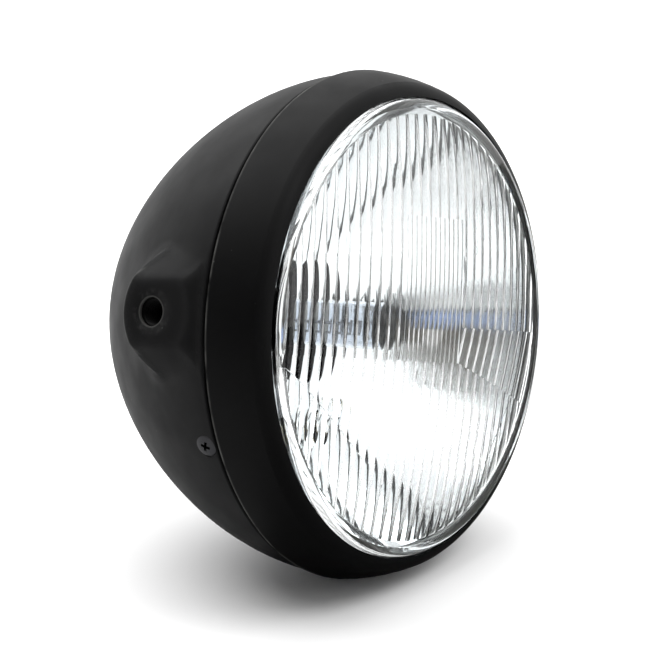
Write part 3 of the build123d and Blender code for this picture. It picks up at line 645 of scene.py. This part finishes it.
# Grommet: a moulded rubber ring with a groove for the edge of the cable hole, sprung in from behind. Its
# mouth is rounded so that it doesn't chafe the wires.
GROMMET_FLANGE = 3.0 * mm
GROMMET_HOLE = 10.8 * mm
GROMMET_INNER = 13.4 * mm
GROMMET_BORE = 7.0 * mm
GROMMET_ROUNDING = 1.1 * mm
low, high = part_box("cable_grommet")
outer = (high[0] - low[0]) / 2
bm = bmesh.new()
section = [
    (GROMMET_BORE, low[1]),
    (GROMMET_INNER, low[1]),
    (GROMMET_INNER, low[1] + GROMMET_FLANGE),
    (GROMMET_HOLE, low[1] + GROMMET_FLANGE),
    (GROMMET_HOLE, high[1] - GROMMET_FLANGE),
    (outer, high[1] - GROMMET_FLANGE),
    (outer, high[1]),
    (GROMMET_BORE, high[1]),
]
profile = [bm.verts.new((radius, y, 0)) for radius, y in section]
edges = [bm.edges.new(pair) for pair in zip(profile, profile[1:] + profile[:1])]
bmesh.ops.spin(
    bm,
    geom=profile + edges,
    cent=(0, 0, 0),
    axis=(0, 1, 0),
    angle=2 * pi,
    steps=64,
    use_merge=True,
)
bmesh.ops.recalc_face_normals(bm, faces=bm.faces)
rounded = [e for e in bm.edges if len(e.link_faces) == 2 and e.calc_face_angle() > 1 and e.is_convex]
bmesh.ops.bevel(
    bm,
    geom=rounded,
    offset=GROMMET_ROUNDING,
    affect="EDGES",
    segments=4,
    profile=0.5,
    material=-1,
    clamp_overlap=True,
)
grommet_rubber = moulded_rubber("black_grommet_rubber", "#111111", "#1b1b1a", 0.6, 0.6)
keep(bm, "rounded_grommet", grommet_rubber, "gasket_rubber", "cable_grommet")

# Rim screws: two countersunk cross-recess screws of blackened steel, which go through the shell's
# dimples into zinc-plated captive nuts on the ring's tongues. The recess is punched, so it tapers.
SCREW_ANGLES = (180 + 30.2, -30.2)
SCREW_HEAD = 4.0 * mm
SCREW_DOME = 0.7 * mm
SCREW_SHANK = 1.95 * mm
SCREW_LENGTH = 11.0 * mm
RECESS_SPAN = 5.6 * mm
RECESS_WIDTH = 1.3 * mm
RECESS_DEPTH = 2.1 * mm
RECESS_TAPER = (0.4, 0.7, 1)
RECESS_TURN = radians(20)
bm = bmesh.new()
head = [(SCREW_HEAD * t, SCREW_DOME * (1 - t * t)) for t in (0, 0.25, 0.5, 0.7, 0.85, 0.95, 1)]
stem = [(SCREW_SHANK, SCREW_SHANK - SCREW_HEAD), (SCREW_SHANK, -SCREW_LENGTH), (0, -SCREW_LENGTH)]
profile = [bm.verts.new((radius, 0, z)) for radius, z in head + stem]
edges = [bm.edges.new(pair) for pair in zip(profile, profile[1:])]
bmesh.ops.spin(
    bm,
    geom=profile + edges,
    cent=(0, 0, 0),
    axis=(0, 0, 1),
    angle=2 * pi,
    steps=48,
    use_merge=True,
)
bmesh.ops.remove_doubles(bm, verts=bm.verts, dist=TOUCH)
bmesh.ops.recalc_face_normals(bm, faces=bm.faces)
blank_mesh = bpy.data.meshes.new("screw_blank")
bm.to_mesh(blank_mesh)
bm.free()
bm = bmesh.new()
for turn in (0, pi / 2):
    wing = bmesh.ops.create_cube(bm, size=1)["verts"]
    foot = [v for v in wing if v.co.z < 0]
    bmesh.ops.scale(bm, vec=RECESS_TAPER, verts=foot)
    bmesh.ops.scale(bm, vec=(RECESS_SPAN, RECESS_WIDTH, 2 * RECESS_DEPTH), verts=wing)
    bmesh.ops.translate(bm, vec=(0, 0, SCREW_DOME), verts=wing)
    bmesh.ops.rotate(bm, cent=(0, 0, 0), matrix=Matrix.Rotation(turn, 3, "Z"), verts=wing)
punch_mesh = bpy.data.meshes.new("screw_punch")
bm.to_mesh(punch_mesh)
bm.free()
blank = bpy.data.objects.new("screw_blank", blank_mesh)
punch = bpy.data.objects.new("screw_punch", punch_mesh)
for tool in (blank, punch):
    bpy.context.scene.collection.objects.link(tool)
recess = blank.modifiers.new("recess", "BOOLEAN")
recess.object = punch
recess.operation = "DIFFERENCE"
recess.use_self = True
punched = bpy.data.meshes.new_from_object(blank.evaluated_get(bpy.context.evaluated_depsgraph_get()))
for tool in (blank, punch):
    bpy.data.objects.remove(tool)
low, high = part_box("rim_screws")
bm = bmesh.new()
for angle in SCREW_ANGLES:
    outwards = Vector((cos(radians(angle)), 0, sin(radians(angle))))
    reach = max(v.co.dot(outwards) for v in frame["nodes"]["rim_screws"].data.vertices)
    along = Vector((0, 1, 0))
    stand = Matrix((outwards.cross(along), along, outwards)).transposed().to_4x4()
    seat = outwards * (reach - SCREW_DOME) + along * (low[1] + high[1]) / 2
    before = set(bm.verts)
    bm.from_mesh(punched)
    bmesh.ops.transform(
        bm,
        matrix=Matrix.Translation(seat) @ stand @ Matrix.Rotation(RECESS_TURN, 4, "Z"),
        verts=[v for v in bm.verts if v not in before],
    )
black_oxide = bare_metal("black_oxide_steel", "#363638", "#414143", 0.4, 1.5)
keep(bm, "cross_recess_screws", black_oxide, "black_screw", "rim_screws")
wear(zinc, "rim_nuts")

# Studio: a white paper table in a white room, under a large soft light. Boards and cloths that the camera
# doesn't see stand for the things round the lamp: they darken the coat and draw stripes in the flutes.
CAMERA_AZIMUTH = radians(-53.754)
CAMERA_HEIGHT = radians(0.079)
CAMERA_ROLL = radians(3.617)
CAMERA_AIM = Vector((-8.98, -22.57, -0.94)) * mm
CAMERA_DISTANCE = 1451.1 * mm
FOCAL_PIXELS = 3979.5
IMAGE_PIXELS = 650
back = Vector(
    (
        sin(CAMERA_AZIMUTH) * cos(CAMERA_HEIGHT),
        -cos(CAMERA_AZIMUTH) * cos(CAMERA_HEIGHT),
        sin(CAMERA_HEIGHT),
    )
)
right = Vector((cos(CAMERA_AZIMUTH), sin(CAMERA_AZIMUTH), 0))
up = back.cross(right)
side = cos(CAMERA_ROLL) * right + sin(CAMERA_ROLL) * up
top = cos(CAMERA_ROLL) * up - sin(CAMERA_ROLL) * right
camera_data = bpy.data.cameras.new("camera")
camera_data.sensor_width = 36
camera_data.lens = FOCAL_PIXELS / IMAGE_PIXELS * camera_data.sensor_width
camera_data.clip_end = 20
camera = bpy.data.objects.new("camera", camera_data)
bpy.context.scene.collection.objects.link(camera)
turn = Matrix((side, top, back)).transposed()
camera.matrix_world = Matrix.Translation(CAMERA_AIM + CAMERA_DISTANCE * back) @ turn.to_4x4()
bpy.context.scene.camera = camera

TABLE_PITCH = radians(19)  # the camera looks down on the table by this much
TABLE_SIZE = (6, 5.6, 1)
TABLE_CENTRE = (0, 1.2, 0)
CLOUDS_PER_METRE = 3.0
normal = cos(TABLE_PITCH) * top + sin(TABLE_PITCH) * back
lowest = min(
    normal.dot(v.co) for name in ("trim_rim", "headlamp_shell") for v in frame["nodes"][name].data.vertices
)
away = (-back - normal * (-back).dot(normal)).normalized()
across = away.cross(normal)
on_table = Matrix.Translation(normal * lowest) @ Matrix((across, away, normal)).transposed().to_4x4()


def matt_board(name, dark, light):
    """Painted board or paper of the studio, a little uneven in tone."""
    material, tree = new_material(name)
    place = add(tree, "TexCoord").outputs["Object"]
    cloud = add(tree, "TexNoise", {"Scale": CLOUDS_PER_METRE, "Detail": 2.0}, {"Vector": place})
    shade = add(
        tree,
        "Mix",
        {6: linear(dark), 7: linear(light)},
        {0: cloud.outputs["Fac"]},
        data_type="RGBA",
    )
    sheet = add(tree, "BsdfPrincipled", {"Roughness": 0.95}, {"Base Color": shade.outputs[2]})
    add(tree, "OutputMaterial", links={"Surface": sheet.outputs["BSDF"]})
    return material


def screen(name, foot, head, start, end, material):
    """Board bent round the lamp, from one heading to another, from its lower edge to its upper one.

    Headings are in degrees, to the right of the camera; edges are (distance, height) in metres."""
    bm = bmesh.new()
    lower = bm.verts.new((0, -foot[0], foot[1]))
    upper = bm.verts.new((0, -head[0], head[1]))
    edge = bm.edges.new((lower, upper))
    bmesh.ops.rotate(bm, cent=(0, 0, 0), matrix=Matrix.Rotation(radians(start), 3, "Z"), verts=bm.verts)
    bmesh.ops.spin(
        bm, geom=[edge], cent=(0, 0, 0), axis=(0, 0, 1), angle=radians(end - start), steps=24
    )
    bmesh.ops.transform(bm, matrix=on_table, verts=bm.verts)
    mesh = bpy.data.meshes.new(name)
    bm.to_mesh(mesh)
    bm.free()
    mesh.materials.append(material)
    board = bpy.data.objects.new(name, mesh)
    bpy.context.scene.collection.objects.link(board)
    board.visible_camera = False
    return board


floor_mesh = bpy.data.meshes.new("table_paper")
bm = bmesh.new()
bmesh.ops.create_grid(bm, x_segments=1, y_segments=1, size=0.5)
bmesh.ops.scale(bm, vec=TABLE_SIZE, verts=bm.verts)
bmesh.ops.translate(bm, vec=TABLE_CENTRE, verts=bm.verts)
bmesh.ops.transform(bm, matrix=on_table, verts=bm.verts)
bm.to_mesh(floor_mesh)
bm.free()
# The table slants in the lamp's frame, so the paper is see-through from below and doesn't hide the lamp.
paper = matt_board("white_paper", "#f2f2f2", "#f8f8f8")
tree = paper.node_tree
under = add(tree, "NewGeometry").outputs["Backfacing"]
sheet = tree.nodes["Principled BSDF"].outputs["BSDF"]
open_below = add(
    tree, "MixShader", links={0: under, 1: sheet, 2: add(tree, "BsdfTransparent").outputs["BSDF"]}
)
tree.links.new(open_below.outputs["Shader"], tree.nodes["Material Output"].inputs["Surface"])
floor_mesh.materials.append(paper)
floor = bpy.data.objects.new("table_paper", floor_mesh)
bpy.context.scene.collection.objects.link(floor)

dark_paint = matt_board("dark_room_paint", "#070706", "#0d0c0b")
screen("dark_room_left", (1.75, -0.8), (1.75, 2.0), -95, 22, dark_paint)
screen("dark_room_right", (1.75, -0.8), (1.75, 0.8), 22, 46, dark_paint)
# Cloths on the table are seen only in reflections. The two mats, seen only in the coat's, are painted
# shade: darker sheets that stand for the shaded table round the lamp.
CLOTH_HEIGHT = 0.002
pale_painted_shade = matt_board("pale_painted_shade", "#c4c4c4", "#cecece")
grey_painted_shade = matt_board("grey_painted_shade", "#555555", "#606060")
for name, near, far, start, end, material, through_glass in (
    ("dark_shelf", 0.5, 2.2, 78, 130, dark_paint, True),
    ("pale_painted_shade_mat", 0.03, 0.5, -110, -15, pale_painted_shade, False),
    ("grey_painted_shade_mat", 0.03, 0.5, -15, 130, grey_painted_shade, False),
):
    cloth = screen(name, (near, CLOTH_HEIGHT), (far, CLOTH_HEIGHT), start, end, material)
    cloth.visible_shadow = False
    cloth.visible_diffuse = False
    cloth.visible_transmission = through_glass
pale_paint = matt_board("pale_card_paint", "#d0d0d0", "#dcdcdc")
screen("pale_card", (1.62, -0.2), (1.62, 0.3), -5, 20, pale_paint)
brown_paint = matt_board("brown_wall_paint", "#45413b", "#514c45")
screen("brown_wall", (1.65, 0.45), (1.65, 2.3), -12, 12, brown_paint)
screen("brown_wall_step", (1.65, 0.45), (1.65, 1.8), 12, 22, brown_paint)
screen("brown_wall_foot", (1.65, 0.45), (1.65, 1.2), 22, 32, brown_paint)
blue_paint = matt_board("pale_blue_card", "#8fa6d8", "#a9bbe4")
screen("window_strip", (1.6, 0.35), (1.6, 0.53), 0, 15, blue_paint)

ROOM_LIGHT = 1.4
world = bpy.data.worlds.new("studio")
bpy.context.scene.world = world
world.use_nodes = True
room = world.node_tree.nodes["Background"]
room.inputs["Color"].default_value = (1, 1, 1, 1)
room.inputs["Strength"].default_value = ROOM_LIGHT


def softbox(name, size, place, power):
    """Rectangular soft light that faces the lamp; sizes in metres, power in watts."""
    data = bpy.data.lights.new(name, "AREA")
    data.shape = "RECTANGLE"
    data.size, data.size_y = size
    data.energy = power
    light = bpy.data.objects.new(name, data)
    bpy.context.scene.collection.objects.link(light)
    stand = on_table @ Vector(place)
    aim = (stand - on_table @ Vector((0, 0, 0.1))).to_track_quat("Z", "Y").to_matrix().to_4x4()
    light.matrix_world = Matrix.Translation(stand) @ aim


softbox("overhead", (2.4, 2.0), (-0.65, 0.6, 1.7), 36)
softbox("key", (0.9, 0.9), (0.9, -0.45, 1.5), 8)

# The light passes the glass, the dish and the bulb several times, so it is followed for long.
bpy.context.scene.view_settings.view_transform = "Standard"
bpy.context.scene.cycles.max_bounces = 24
bpy.context.scene.cycles.glossy_bounces = 16
bpy.context.scene.cycles.transmission_bounces = 24
